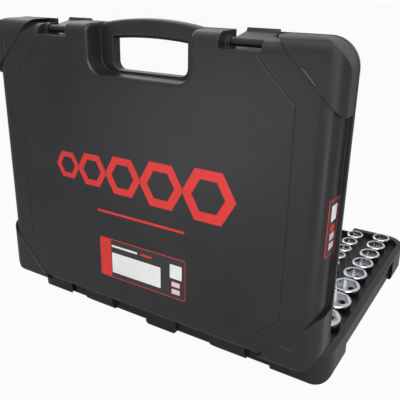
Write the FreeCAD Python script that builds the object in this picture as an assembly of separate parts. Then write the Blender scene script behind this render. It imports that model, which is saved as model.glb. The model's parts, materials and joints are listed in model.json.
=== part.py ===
import FreeCAD, Part
import math
import os

V = FreeCAD.Vector
X_AXIS = V(1, 0, 0)

# Case halves, in millimetres: X across, -Y the handle side, +Y the hinge side, Z up
case_width = 470.0
case_depth = 354.0
base_height = 42.5
lid_height = 39.0
open_angle = 87.0
wall = 3.0
flange_reach = 5.0
flange_thick = 3.5
flange_corner = 30.0
body_corner = 25.0
lid_side_round = 18.0
lid_front_round = 14.0
base_side_round = 10.0
base_front_round = 10.0
rear_round = 5.0
least_round = 1.0
bumper_leg = 72.0
bumper_proud = 1.5
bumper_inset = 0.4
cut_over = 1.0

# Panel groove and corner mark on the outer faces
groove_width = 2.0
groove_depth = 1.2
panel_half_width = 190.0
panel_top_half_width = 148.0
panel_front_margin = 22.0
panel_rear_margin = 32.0
panel_front_cut = 42.0
panel_rear_cut = 26.0
mark_leg = 16.0
mark_corner_offset = 27.0
mark_depth = 0.8

# Carrying handle, half of it on each shell
recess_half_width = 70.0
recess_depth = 56.0
recess_corner = 18.0
recess_lip_round = 4.0
opening_half_width = 52.0
opening_corner = 10.0
bar_width = 21.0
bar_crown = 7.0
bar_thick = 13.0
bar_round = 5.0
bar_inner_rise = 5.0
bar_set_back = 1.0

# Latches and the recesses that hold them
latch_center = 126.5
latch_width = 38.0
latch_recess_width = 47.0
latch_recess_depth = 17.0
latch_pivot_out = 6.0
latch_pivot_height = 17.0
latch_thick = 4.5
latch_barrel_radius = 4.5
latch_length = 34.0
latch_hook = 3.0
latch_hook_height = 4.0
latch_rest_angle = 12.0
latch_pin_radius = 1.75
latch_tip_grip = 3.0
catch_gap = 0.5
catch_reach = 3.5
catch_height = 5.0
lug_gap = 0.5
lug_radius = 6.0

# Hinges
hinge_center = 106.0
hinge_width = 50.0
hinge_back = 2.6
knuckle_width = 17.0
knuckle_gap = 0.5
barrel_radius = 5.0
hinge_pin_radius = 2.0
hinge_block_reach = 4.0
hinge_block_top = 12.0
rear_foot_half_width = 25.0
rear_foot_height = 21.0
block_round = 5.0
pin_clearance = 0.06
press_clearance = 0.02

# Insert that holds the tools, and the pad in the lid
tray_gap = 0.6
tray_top = 34.0
tray_plate = 2.5
tray_wall = 2.0
tray_seam = 0.5
cup_wall = 2.0
tool_gap = 0.3
seat_gap = 0.2
pad_thick = 12.0
pad_margin = 9.0
pad_corner = 12.0

# Half-inch drive tools: socket size, outer diameter and height, from the front to the hinge
large_sockets = [
    (19, 26.0, 38.0), (20, 28.0, 38.0), (21, 29.5, 38.0), (22, 30.5, 38.0),
    (24, 33.0, 42.0), (27, 37.0, 42.0), (30, 40.0, 44.0), (32, 43.0, 44.0),
]
middle_sockets = [
    (18, 25.0, 38.0), (17, 24.0, 38.0), (16, 23.0, 38.0), (15, 22.0, 38.0), (14, 20.0, 38.0),
    (13, 18.5, 38.0), (12, 17.5, 38.0), (11, 16.5, 38.0), (10, 15.5, 38.0),
]
deep_sockets = [
    (10, 15.5, 77.0), (13, 18.5, 77.0), (14, 20.0, 77.0),
    (17, 24.0, 77.0), (19, 26.0, 77.0), (22, 30.5, 77.0),
]
spark_sockets = [(16, 22.0, 65.0), (21, 27.0, 65.0)]
socket_top = 51.0
socket_pitch_gap = 3.0
deep_pitch_gap = 6.0
large_front_gap = 7.0
large_side_gap = 3.5
middle_front_gap = 17.5
middle_pitch = 39.0
drive_square = 12.7
drive_end_diameter = 22.0
drive_depth = 15.0
square_gap = 0.2
edge_chamfer = 0.8
neck_depth = 0.6
neck_width = 3.0
socket_bolt_gap = 0.3
hex_height_share = 0.5
hex_size_share = 0.9
bore_share = 0.4
male_length = 14.0
deep_side_gap = 28.0
deep_front = -98.0

# Quarter-inch drive tools
small_sockets = [
    (4, 12.0), (5, 12.0), (6, 12.0), (7, 12.0), (8, 12.5),
    (9, 13.5), (10, 15.0), (11, 16.0), (12, 17.0), (13, 18.5),
]
small_socket_height = 25.0
small_socket_top = 47.0
small_front_gap = 25.0
small_pitch_gap = 5.5
small_drive = 6.35
small_drive_end = 12.0
small_drive_depth = 8.0

# Ratchet
ratchet_pitch = 42.0
ratchet_head_y = 118.0
ratchet_head_radius = 21.0
ratchet_head_thick = 18.0
ratchet_length = 250.0
shank_radius = 7.0
neck_side_share = 0.8
neck_start_share = 0.6
neck_seat_share = 0.9
grip_radius = 14.0
grip_length = 112.0
grip_end_radius = 12.0
grip_bore_gap = 0.05
gear_radius = 12.5
gear_teeth = 36
gear_tooth_depth = 1.1
gear_thick = 10.0
gear_gap = 0.4
drive_shaft_radius = 9.6
cover_thick = 1.6
cover_inset = 2.0
pawl_distance = 17.2
pawl_radius = 3.2
pawl_width = 5.0
lever_shaft_radius = 2.2
lever_thick = 3.0
lever_length = 20.0
lever_width = 9.0
lever_corner = 1.8
screw_radius = 1.4
screw_length = 5.0
screw_head_radius = 2.4
screw_head_thick = 0.9
screw_circle = 16.5
screw_angles = (30.0, 150.0)

# Extension bars, sliding T-handle and spinner handle
bar_radius = 6.5
female_radius = 12.0
female_length = 32.0
long_extension = 250.0
short_extension = 125.0
long_extension_pitch = 43.0
short_extension_pitch = 27.0
tool_rear_y = 148.5
t_bar_pitch = 33.0
t_bar_radius = 7.0
t_bar_length = 250.0
t_head_radius = 13.0
t_head_length = 28.0
t_head_travel = 104.0
spinner_grip_radius = 14.0
spinner_grip_length = 95.0
spinner_end_round = 4.6
spinner_shaft_radius = 4.0
spinner_shaft_length = 45.0
spinner_flutes = 6
flute_radius = 5.0
flute_bite = 1.4
spark_gap_y = 12.0

# Values worked out from the ones above
lid_rounds = (lid_side_round, lid_front_round, rear_round)
base_rounds = (base_side_round, base_front_round, rear_round)
half_width = case_width / 2
half_depth = case_depth / 2
hinge_y = half_depth + hinge_back
hinge_z = base_height
recess_back = -half_depth + recess_depth
latch_floor = -half_depth + latch_recess_depth
latch_pivot_y = latch_floor - latch_pivot_out
base_floor = wall
tool_axis = tray_top
cavity_inset = flange_reach + wall
tray_inset = cavity_inset + tray_gap
gear_bottom = tool_axis - gear_thick / 2
head_bottom = tool_axis - ratchet_head_thick / 2
head_top = tool_axis + ratchet_head_thick / 2
square_bottom = head_bottom - male_length - square_gap
grip_start = ratchet_head_y - ratchet_length + ratchet_head_radius + grip_length
grip_end = grip_start - grip_length
wide = case_width + case_depth
square_radius = drive_square / 2 * math.sqrt(2)

# Rows of tools across the case: from the left wall, from the right wall, and shared between the two
largest_seat = max(diameter for size, diameter, height in large_sockets)
widest_middle = max(diameter for size, diameter, height in middle_sockets)
widest_small = max(diameter for size, diameter in small_sockets)
longest_deep = max(height for size, diameter, height in deep_sockets)
large_column = -half_width + cavity_inset + large_side_gap + largest_seat / 2
middle_column = large_column + middle_pitch
ratchet_x = middle_column + ratchet_pitch
long_extension_x = ratchet_x + long_extension_pitch
short_extension_x = long_extension_x + short_extension_pitch
t_bar_x = short_extension_x + t_bar_pitch
deep_left = half_width - cavity_inset - deep_side_gap - longest_deep
free_width = deep_left - t_bar_x - t_head_radius - widest_small - 2 * spinner_grip_radius
shared_gap = free_width / 3
small_column = t_bar_x + t_head_radius + shared_gap + widest_small / 2
spinner_x = deep_left - shared_gap - spinner_grip_radius
small_front = recess_back + small_front_gap
left_seam = (middle_column + widest_middle / 2 + ratchet_x - ratchet_head_radius) / 2
right_seam = (t_bar_x + t_head_radius + small_column - widest_small / 2) / 2


def box(x0, x1, y0, y1, z0, z1):
    return Part.makeBox(x1 - x0, y1 - y0, z1 - z0, V(x0, y0, z0))


def upright(x, y, z0, z1, radius):
    return Part.makeCylinder(radius, z1 - z0, V(x, y, z0))


def along_x(x0, x1, y, z, radius):
    return Part.makeCylinder(radius, x1 - x0, V(x0, y, z), V(1, 0, 0))


def along_y(y0, y1, x, z, radius):
    return Part.makeCylinder(radius, y1 - y0, V(x, y0, z), V(0, 1, 0))


def rounded_face(points, radii):
    """Face through the points, each corner rounded by its own radius."""
    edges = []
    last = None
    first = None
    for i, corner in enumerate(points):
        before = (points[i - 1] - corner).normalize()
        after = (points[(i + 1) % len(points)] - corner).normalize()
        half = before.getAngle(after) / 2
        reach = radii[i] / math.tan(half)
        start = corner + before * reach
        end = corner + after * reach
        if last is not None:
            edges.append(Part.LineSegment(last, start).toShape())
        if radii[i] > 0:
            inward = (before + after).normalize()
            middle = corner + inward * (radii[i] / math.sin(half) - radii[i])
            edges.append(Part.Arc(start, middle, end).toShape())
        first = first or start
        last = end
    edges.append(Part.LineSegment(last, first).toShape())
    return Part.Face(Part.Wire(edges))


def polygon_prism(points, direction):
    return Part.Face(Part.makePolygon(points + points[:1])).extrude(direction)


def regular_prism(x, y, z0, z1, sides, flats, turn=0.0):
    """Upright prism on a regular polygon, given its size across flats."""
    radius = flats / 2 / math.cos(math.pi / sides)
    points = []
    for i in range(sides):
        angle = turn + 2 * math.pi * i / sides
        points.append(V(x + radius * math.cos(angle), y + radius * math.sin(angle), z0))
    return polygon_prism(points, V(0, 0, z1 - z0))


def square_prism(x, y, z0, z1, side):
    return box(x - side / 2, x + side / 2, y - side / 2, y + side / 2, z0, z1)


def fuse_all(shapes):
    return shapes[0].multiFuse(shapes[1:]).removeSplitter()


def mirrored_pair(shape):
    """The shape and its mirror image across the YZ plane."""
    return [shape, shape.mirror(V(0, 0, 0), V(1, 0, 0))]


# Each half of the case is built with its parting plane at Z 0 and its outer face up


def half_form(inset, corner, height, rounds):
    """Closed form of one half: rounded in plan and along its outer edges."""
    x = half_width - inset
    y = half_depth - inset
    shrink = max(inset - flange_reach, 0)
    side, front, rear = [max(radius - shrink, least_round) for radius in rounds]
    plan = rounded_face([V(-x, -y, 0), V(x, -y, 0), V(x, y, 0), V(-x, y, 0)], [corner] * 4)
    low = [V(-x, -y, 0), V(x, -y, 0)]
    across = rounded_face(low + [V(x, -y, height), V(-x, -y, height)], [0, 0, side, side])
    low = [V(-x, -y, 0), V(-x, y, 0)]
    along = rounded_face(low + [V(-x, y, height), V(-x, -y, height)], [0, 0, rear, front])
    form = plan.extrude(V(0, 0, height)).common(across.extrude(V(0, 2 * y, 0)))
    return form.common(along.extrude(V(2 * x, 0, 0)))


def handle_recess(grow, z0, z1):
    """Space in front of the handle's back wall, grown by a wall where needed."""
    x = recess_half_width + grow
    back = recess_back + grow
    front = -half_depth - bar_crown - wall
    corner = recess_corner + grow
    points = [V(-x, front, z0), V(x, front, z0), V(x, back, z0), V(-x, back, z0)]
    return rounded_face(points, [0, 0, corner, corner]).extrude(V(0, 0, z1 - z0))


def latch_recess(grow, z0, z1):
    half = latch_recess_width / 2 + grow
    front = -half_depth - cut_over
    return box(latch_center - half, latch_center + half, front, latch_floor + grow, z0, z1)


def handle_bar():
    """Half of the carrying bar: an arched strip with rounded outer edges."""
    x = recess_half_width
    outer = -half_depth + bar_set_back
    inner = outer - bar_crown + bar_width + bar_inner_rise
    front = Part.Arc(V(-x, outer, 0), V(0, outer - bar_crown, 0), V(x, outer, 0)).toShape()
    back = Part.Arc(V(x, inner, 0), V(0, inner - bar_inner_rise, 0), V(-x, inner, 0)).toShape()
    right = Part.LineSegment(V(x, outer, 0), V(x, inner, 0)).toShape()
    left = Part.LineSegment(V(-x, inner, 0), V(-x, outer, 0)).toShape()
    bar = Part.Face(Part.Wire([front, right, back, left])).extrude(V(0, 0, bar_thick))
    rims = [edge for edge in bar.Edges if edge.BoundBox.ZMin > bar_thick / 2 and edge.BoundBox.XLength > x]
    return bar.makeFillet(bar_round, rims)


def handle_opening(height):
    x = opening_half_width
    front = -half_depth - bar_crown - wall
    back = recess_back - wall
    points = [V(-x, front, 0), V(x, front, 0), V(x, back, 0), V(-x, back, 0)]
    for point in points:
        point.z = -cut_over
    return rounded_face(points, [0, 0, opening_corner, opening_corner]).extrude(V(0, 0, height))


def corner_wedges(height):
    """Corner spaces cut off at 45 degrees, where the bumpers stand."""
    wedges = []
    for sx in (-1, 1):
        for sy in (-1, 1):
            x = sx * half_width
            y = sy * half_depth
            points = [V(x, y, 0), V(x - sx * bumper_leg, y, 0), V(x, y - sy * bumper_leg, 0)]
            wedges.append(polygon_prism(points, V(0, 0, height)))
    return wedges


def post_spaces(height):
    """Spaces between the handle and each latch, where the wall stands out to the rim."""
    outer = latch_center - latch_recess_width / 2
    post = box(recess_half_width - wall, outer, -half_depth, recess_back, 0, height)
    return mirrored_pair(post)


def panel_groove(face):
    """Groove round the raised panel of the outer face."""

    def outline(inset):
        x = panel_half_width - inset
        top = panel_top_half_width - inset
        front = -half_depth + panel_front_margin
        rear = half_depth - panel_rear_margin
        points = [V(-top, -half_depth, 0), V(top, -half_depth, 0), V(top, front, 0)]
        points += [V(x, front + panel_front_cut, 0), V(x, rear - panel_rear_cut, 0)]
        points += [V(x - panel_rear_cut, rear, 0), V(-x + panel_rear_cut, rear, 0)]
        points += [V(-x, rear - panel_rear_cut, 0), V(-x, front + panel_front_cut, 0), V(-top, front, 0)]
        for point in points:
            point.z = face - groove_depth
        return polygon_prism(points, V(0, 0, groove_depth + bumper_proud))

    return outline(0).cut(outline(groove_width))


def corner_marks(face):
    """Triangular marks sunk into the bumpers."""
    marks = []
    for sx in (-1, 1):
        for sy in (-1, 1):
            x = sx * (half_width - mark_corner_offset)
            y = sy * (half_depth - mark_corner_offset)
            points = [V(x, y, 0), V(x - sx * mark_leg, y, 0), V(x, y - sy * mark_leg, 0)]
            for point in points:
                point.z = face - mark_depth
            marks.append(polygon_prism(points, V(0, 0, wall)))
    return marks


def recess_rim(shell):
    """Edges where the handle recess meets the outer faces."""
    rim = []
    for edge in shell.Edges:
        bounds = edge.BoundBox
        within = abs(bounds.Center.x) < recess_half_width + cut_over
        within = within and bounds.YMax < recess_back + cut_over
        if within and bounds.ZMin > bar_thick + cut_over:
            rim.append(edge)
    return rim


def half_shell(height, rounds, proud_step):
    """One half of the case without its hinge and latch parts; bumpers stand out by the step."""
    body_face = height - proud_step
    proud = half_form(bumper_inset, flange_corner, height, rounds)
    bumpers = proud.common(Part.makeCompound(corner_wedges(height) + post_spaces(body_face)))
    body = half_form(flange_reach, body_corner, body_face, rounds)
    corners = [V(-half_width, -half_depth, 0), V(half_width, -half_depth, 0)]
    corners += [V(half_width, half_depth, 0), V(-half_width, half_depth, 0)]
    flange = rounded_face(corners, [flange_corner] * 4).extrude(V(0, 0, flange_thick))
    top = height + cut_over
    outer = fuse_all([body, flange] + bumpers.Solids).cut(handle_recess(0, bar_thick, top))
    outer = outer.makeFillet(recess_lip_round, recess_rim(outer))
    cuts = [handle_opening(top), panel_groove(body_face)]
    cuts += mirrored_pair(latch_recess(0, -cut_over, top))
    cuts += corner_marks(height)
    outer = outer.cut(Part.makeCompound(cuts))
    cavity = half_form(cavity_inset, body_corner - wall, body_face - wall, rounds)
    kept = [handle_recess(wall, -cut_over, height)]
    kept += mirrored_pair(latch_recess(wall, -cut_over, height))
    cavity = cavity.cut(Part.makeCompound(kept))
    return fuse_all([outer.cut(cavity), handle_bar()])


def hinge_spans():
    """X ranges of the base ears and the lid knuckle of each hinge."""
    spans = []
    for center in (-hinge_center, hinge_center):
        low = center - hinge_width / 2
        high = center + hinge_width / 2
        inner_low = center - knuckle_width / 2
        inner_high = center + knuckle_width / 2
        ears = [(low, inner_low - knuckle_gap), (inner_high + knuckle_gap, high)]
        spans.append((ears, (inner_low, inner_high), (low, high)))
    return spans


def hinge_leaf(span, toward):
    """Barrel round the hinge line with a web to the wall, above (1) or below (-1) the parting plane."""
    x0, x1 = span
    barrel = along_x(x0, x1, hinge_y, hinge_z, barrel_radius)
    z_far = hinge_z + toward * (barrel_radius + flange_thick)
    z0 = min(hinge_z, z_far)
    z1 = max(hinge_z, z_far)
    web = box(x0, x1, half_depth - flange_reach, hinge_y, z0, z1)
    return [barrel, web]


def hinge_clearance(span):
    x0, x1 = span
    return along_x(x0 - knuckle_gap, x1 + knuckle_gap, hinge_y, hinge_z, barrel_radius + knuckle_gap)


def hinge_bore(clearance):
    low = -hinge_center - hinge_width
    return along_x(low, -low, hinge_y, hinge_z, hinge_pin_radius + clearance)


def rear_block(x0, x1, y0, y1, height):
    """Block on the rear wall with its lower corners rounded."""
    points = [V(x0, y0, 0), V(x1, y0, 0), V(x1, y0, height), V(x0, y0, height)]
    return rounded_face(points, [block_round, block_round, 0, 0]).extrude(V(0, y1 - y0, 0))


def hinge_block(span):
    """Solid block under the ears on the rear wall."""
    x0, x1 = span
    y0 = half_depth - flange_reach - wall
    y1 = half_depth + hinge_block_reach
    slope = hinge_block_reach + flange_reach
    points = [V(x0, y0, 0), V(x0, y1 - slope, 0), V(x0, y1, slope)]
    points += [V(x0, y1, hinge_z - hinge_block_top), V(x0, hinge_y, hinge_z - barrel_radius)]
    points += [V(x0, y0, hinge_z - barrel_radius)]
    block = polygon_prism(points, V(x1 - x0, 0, 0))
    return block.common(rear_block(x0, x1, y0, y1, hinge_z))


def latch_catch():
    """Ridge in the base recess that the latch hook goes under."""
    top = base_height + latch_pivot_height - latch_length + latch_hook_height + catch_gap
    half = latch_width / 2
    front = latch_floor - catch_reach
    points = [V(latch_center - half, latch_floor, top), V(latch_center - half, front, top)]
    points += [V(latch_center - half, front, top + catch_height - catch_reach / 2)]
    points += [V(latch_center - half, latch_floor, top + catch_height)]
    return polygon_prism(points, V(latch_width, 0, 0))


def latch_lugs():
    """Lugs on the lid that carry the latch pin."""
    z = base_height + latch_pivot_height
    side = (latch_recess_width - latch_width) / 2 - lug_gap
    inner = latch_width / 2 + lug_gap
    lugs = []
    for sx in (-1, 1):
        x0 = latch_center + min(sx * inner, sx * (inner + side))
        disc = along_x(x0, x0 + side, latch_pivot_y, z, lug_radius)
        foot = box(x0, x0 + side, latch_pivot_y, latch_floor + wall / 2, z - lug_radius, z + lug_radius)
        lugs += [disc, foot]
    return lugs


def latch_pin(clearance):
    z = base_height + latch_pivot_height
    half = latch_recess_width / 2
    return along_x(latch_center - half, latch_center + half, latch_pivot_y, z, latch_pin_radius + clearance)


def open_lid(shape):
    """Turns a shape modelled with the lid shut to where it stands with the lid open."""
    return shape.rotated(V(0, hinge_y, hinge_z), X_AXIS, -open_angle)


def base_shell():
    shell = to_base(half_shell(base_height, base_rounds, 0))
    added = mirrored_pair(latch_catch())
    cleared = [hinge_bore(press_clearance)]
    for ears, knuckle, block in hinge_spans():
        for ear in ears:
            added += hinge_leaf(ear, -1)
        added.append(hinge_block(block))
        cleared.append(hinge_clearance(knuckle))
    added.append(rear_foot())
    shell = fuse_all([shell] + added)
    return shell.cut(Part.makeCompound(cleared))


def rear_foot():
    """Foot in the middle of the rear wall, for standing the case upright."""
    y0 = half_depth - flange_reach - wall
    return rear_block(-rear_foot_half_width, rear_foot_half_width, y0, half_depth, rear_foot_height)


def lid_shell():
    shell = half_shell(lid_height, lid_rounds, bumper_proud)
    shell.translate(V(0, 0, base_height))
    added = []
    for lug in latch_lugs():
        added += mirrored_pair(lug)
    cleared = [hinge_bore(pin_clearance)] + mirrored_pair(latch_pin(press_clearance))
    for ears, knuckle, block in hinge_spans():
        added += hinge_leaf(knuckle, 1)
        for ear in ears:
            cleared.append(hinge_clearance(ear))
    shell = fuse_all([shell] + added)
    return open_lid(shell.cut(Part.makeCompound(cleared)))


def hinge_pins():
    pins = []
    for ears, knuckle, block in hinge_spans():
        pins.append(along_x(block[0], block[1], hinge_y, hinge_z, hinge_pin_radius))
    return Part.makeCompound(pins)


def latch():
    """Latch on the +X side, with the lid shut and the hook under its catch."""
    z = base_height + latch_pivot_height
    x0 = latch_center - latch_width / 2
    back = latch_pivot_y + latch_thick / 2
    front = latch_pivot_y - latch_thick / 2
    tip = z - latch_length
    points = [V(x0, front, z), V(x0, front, tip + latch_tip_grip), V(x0, front - latch_tip_grip, tip)]
    points += [V(x0, back + latch_hook, tip), V(x0, back + latch_hook, tip + latch_hook_height)]
    points += [V(x0, back, tip + latch_hook_height), V(x0, back, z)]
    plate = polygon_prism(points, V(latch_width, 0, 0))
    barrel = along_x(x0, x0 + latch_width, latch_pivot_y, z, latch_barrel_radius)
    clip = fuse_all([plate, barrel]).cut(latch_pin(pin_clearance))
    return clip.rotated(V(0, latch_pivot_y, z), X_AXIS, -latch_rest_angle)


def lid_pad():
    """Foam pad against the inside of the lid's outer face."""
    x = half_width - cavity_inset - lid_side_round
    front = recess_back + wall + pad_margin
    rear = half_depth - cavity_inset - pad_margin
    top = base_height + lid_height - bumper_proud - wall
    points = [V(-x, front, 0), V(x, front, 0), V(x, rear, 0), V(-x, rear, 0)]
    for point in points:
        point.z = top - pad_thick
    pad = rounded_face(points, [pad_corner] * 4).extrude(V(0, 0, pad_thick))
    return open_lid(pad)


# Tools: sockets stand on their drive end or lie along an axis at the top of the insert


def socket(size, diameter, height, square, end_diameter, depth):
    """Six-sided socket at the origin, drive end down, opening up."""
    radius = diameter / 2
    end_radius = max(end_diameter, diameter) / 2 if height > drive_depth * 2 else radius
    body = upright(0, 0, 0, height, radius)
    if end_radius > radius:
        collar = upright(0, 0, 0, height / 2, end_radius)
        taper = Part.makeCone(end_radius, radius, end_radius - radius, V(0, 0, height / 2))
        body = fuse_all([body, collar, taper])
    rims = [edge for edge in body.Edges if edge.BoundBox.ZLength < square_gap and end_of(edge, height)]
    body = body.makeChamfer(edge_chamfer, rims)
    hex_depth = min(height * hex_height_share, size * hex_size_share)
    top = height + cut_over
    hexagon = regular_prism(0, 0, height - hex_depth, top, 6, size + socket_bolt_gap)
    bore = upright(0, 0, depth / 2, height, min(size, square) * bore_share)
    drive = square_prism(0, 0, -cut_over, depth, square + square_gap)
    outer_neck = upright(0, 0, depth / 2, depth / 2 + neck_width, end_radius + cut_over)
    neck = outer_neck.cut(upright(0, 0, 0, height, end_radius - neck_depth))
    return body.cut(Part.makeCompound([hexagon, bore, drive, neck]))


def end_of(edge, height):
    middle = edge.BoundBox.Center.z
    return middle < edge_chamfer / 2 or middle > height - edge_chamfer / 2


def column_places(sizes, first, gap):
    """Centres of a column of sockets, each clear of the next by the gap."""
    places = []
    y = first
    for i, diameter in enumerate(sizes):
        if i > 0:
            y += (sizes[i - 1] + diameter) / 2 + gap
        places.append(y)
    return places


def standing_sockets():
    """Node name, socket values, place and height of the bottom of each standing socket."""
    rows = []
    columns = [(large_sockets, large_column, large_front_gap)]
    columns.append((middle_sockets, middle_column, middle_front_gap))
    for column, x, front_gap in columns:
        seats = [max(diameter, drive_end_diameter) for size, diameter, height in column]
        first = -half_depth + cavity_inset + front_gap + seats[0] / 2
        places = column_places(seats, first, socket_pitch_gap)
        for (size, diameter, height), seat, y in zip(column, seats, places):
            values = (size, diameter, height, drive_square, drive_end_diameter, drive_depth)
            rows.append(("socket_%d" % size, values, seat / 2, x, y, socket_top - height))
    seats = [max(diameter, small_drive_end) for size, diameter in small_sockets]
    places = column_places(seats, small_front, small_pitch_gap)
    for (size, diameter), seat, y in zip(small_sockets, seats, places):
        values = (size, diameter, small_socket_height, small_drive, small_drive_end, small_drive_depth)
        bottom = small_socket_top - small_socket_height
        rows.append(("small_socket_%d" % size, values, seat / 2, small_column, y, bottom))
    return rows


def lying_sockets():
    """Node name, socket values, X of the drive end and Y of each deep or spark plug socket, along +X."""
    rows = []
    seats = [max(diameter, drive_end_diameter) for size, diameter, height in deep_sockets]
    places = column_places(seats, deep_front, deep_pitch_gap)
    for (size, diameter, height), y in zip(deep_sockets, places):
        values = (size, diameter, height, drive_square, drive_end_diameter, drive_depth)
        rows.append(("deep_socket_%d" % size, values, deep_left, y))
    return rows


def spark_places():
    """Spark plug sockets lie along Y, ahead of the short extension and the spinner handle."""
    ends = [tool_rear_y - short_extension - male_length, tool_rear_y - spinner_total()]
    rows = []
    for (size, diameter, height), x, end in zip(spark_sockets, (short_extension_x, spinner_x), ends):
        values = (size, diameter, height, drive_square, drive_end_diameter, drive_depth)
        rows.append(("spark_plug_socket_%d" % size, values, x, end - spark_gap_y))
    return rows


def spinner_total():
    return spinner_grip_length + spinner_shaft_length


def place_lying_x(shape, x, y):
    turned = shape.rotated(V(0, 0, 0), V(0, 1, 0), 90)
    turned.translate(V(x, y, tool_axis))
    return turned


def place_lying_y(shape, x, y):
    """Lays an upright shape along -Y from the given point."""
    turned = shape.rotated(V(0, 0, 0), V(1, 0, 0), 90)
    turned.translate(V(x, y, tool_axis))
    return turned


def seat_radius(values):
    size, diameter, height, square, end_diameter, depth = values
    return max(diameter, end_diameter) / 2


def extension(length):
    """Extension bar at the origin: female end down, square end up."""
    female = upright(0, 0, 0, female_length, female_radius)
    taper = Part.makeCone(female_radius, bar_radius, female_radius - bar_radius, V(0, 0, female_length))
    rod = upright(0, 0, female_length / 2, length - drive_square, bar_radius)
    collar = upright(0, 0, length - 2 * drive_square, length, square_radius)
    square = square_prism(0, 0, length - drive_square, length + male_length, drive_square)
    bar = fuse_all([female, taper, rod, collar, square])
    return bar.cut(square_prism(0, 0, -cut_over, drive_depth, drive_square + square_gap))


def t_handle_bar():
    y1 = tool_rear_y
    rod = along_y(y1 - t_bar_length, y1, t_bar_x, tool_axis, t_bar_radius)
    ends = [edge for edge in rod.Edges if edge.BoundBox.YLength < square_gap]
    return rod.makeChamfer(edge_chamfer, ends)


def t_handle_head():
    """Sliding head on the T-bar, with its square pointing up."""
    y = tool_rear_y - t_bar_length / 2
    drum = along_y(y - t_head_length / 2, y + t_head_length / 2, t_bar_x, tool_axis, t_head_radius)
    top = tool_axis + t_head_radius
    neck = upright(t_bar_x, y, tool_axis, top + square_gap, square_radius)
    square = square_prism(t_bar_x, y, tool_axis, top + male_length, drive_square)
    head = fuse_all([drum, neck, square])
    bore = t_bar_radius + pin_clearance
    return head.cut(along_y(y - t_head_length, y + t_head_length, t_bar_x, tool_axis, bore))


def spinner_shaft():
    y1 = tool_rear_y
    y0 = y1 - spinner_shaft_length
    start = y0 - spinner_grip_length / 2
    rod = along_y(start, y1 - small_drive_depth, spinner_x, tool_axis, spinner_shaft_radius)
    half = small_drive / 2
    square = box(spinner_x - half, spinner_x + half, y0, y1, tool_axis - half, tool_axis + half)
    return fuse_all([rod, square])


def spinner_grip():
    """Fluted grip of the spinner handle."""
    y1 = tool_rear_y - spinner_shaft_length
    y0 = y1 - spinner_grip_length
    grip = along_y(y0, y1, spinner_x, tool_axis, spinner_grip_radius)
    ends = [edge for edge in grip.Edges if edge.BoundBox.YLength < square_gap]
    grip = grip.makeFillet(spinner_end_round, ends)
    reach = spinner_grip_radius + flute_radius - flute_bite
    cuts = []
    for i in range(spinner_flutes):
        angle = 2 * math.pi * i / spinner_flutes
        x = spinner_x + reach * math.cos(angle)
        z = tool_axis + reach * math.sin(angle)
        cuts.append(along_y(y0 + spinner_grip_radius, y1 - spinner_grip_radius, x, z, flute_radius))
    radius = spinner_shaft_radius + press_clearance
    hole = along_y(y1 - spinner_grip_length / 2, y1 + cut_over, spinner_x, tool_axis, radius)
    return grip.cut(Part.makeCompound(cuts + [hole]))


# Ratchet, lying flat with its square pointing down


def ratchet_shank():
    return along_y(grip_end + wall, ratchet_head_y, ratchet_x, tool_axis, shank_radius)


def gear_space():
    floor = gear_bottom - gear_gap
    top = head_top + cut_over
    space = upright(ratchet_x, ratchet_head_y, floor, top, gear_radius + gear_gap)
    shaft_radius = drive_shaft_radius + pin_clearance
    shaft = upright(ratchet_x, ratchet_head_y, head_bottom - cut_over, head_top, shaft_radius)
    y = ratchet_head_y - pawl_distance
    room = pawl_radius + gear_gap
    pawl_room = upright(ratchet_x, y, floor, top, room)
    slot = box(ratchet_x - pawl_width, ratchet_x + pawl_width, y, ratchet_head_y, floor, top)
    return Part.makeCompound([space, shaft, pawl_room, slot])


def screw_places():
    places = []
    for angle in screw_angles:
        x = ratchet_x + screw_circle * math.cos(math.radians(angle))
        places.append((x, ratchet_head_y + screw_circle * math.sin(math.radians(angle))))
    return places


def ratchet_body():
    head = upright(ratchet_x, ratchet_head_y, head_bottom, head_top, ratchet_head_radius)
    rims = [edge for edge in head.Edges if edge.BoundBox.ZLength < square_gap]
    head = head.makeFillet(edge_chamfer * 2, rims)
    neck_end = ratchet_head_y - ratchet_head_radius * 2
    side = ratchet_head_radius * neck_side_share
    start = ratchet_head_y - ratchet_head_radius * neck_start_share
    points = [V(ratchet_x - side, start, 0), V(ratchet_x + side, start, 0)]
    points += [V(ratchet_x + shank_radius, neck_end, 0), V(ratchet_x - shank_radius, neck_end, 0)]
    for point in points:
        point.z = tool_axis - shank_radius
    neck = polygon_prism(points, V(0, 0, 2 * shank_radius))
    body = fuse_all([head, neck, ratchet_shank()])
    top = head_top + cut_over
    cover_seat = upright(ratchet_x, ratchet_head_y, head_top - cover_thick, top, cover_radius())
    holes = [upright(x, y, head_top - screw_length, head_top, screw_radius) for x, y in screw_places()]
    return body.cut(Part.makeCompound([cover_seat, gear_space()] + holes))


def cover_radius():
    return ratchet_head_radius - cover_inset


def ratchet_cover():
    radius = cover_radius() - press_clearance
    disc = upright(ratchet_x, ratchet_head_y, head_top - cover_thick, head_top, radius)
    y = ratchet_head_y - pawl_distance
    top = head_top + cut_over
    cuts = [upright(ratchet_x, y, head_bottom, top, lever_shaft_radius + pin_clearance)]
    cuts += [upright(x, y0, head_bottom, top, screw_radius) for x, y0 in screw_places()]
    return disc.cut(Part.makeCompound(cuts))


def ratchet_screws():
    screws = []
    for x, y in screw_places():
        thread = upright(x, y, head_top - screw_length, head_top, screw_radius)
        cap = upright(x, y, head_top, head_top + screw_head_thick, screw_head_radius)
        screws.append(fuse_all([thread, cap]))
    return Part.makeCompound(screws)


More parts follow.
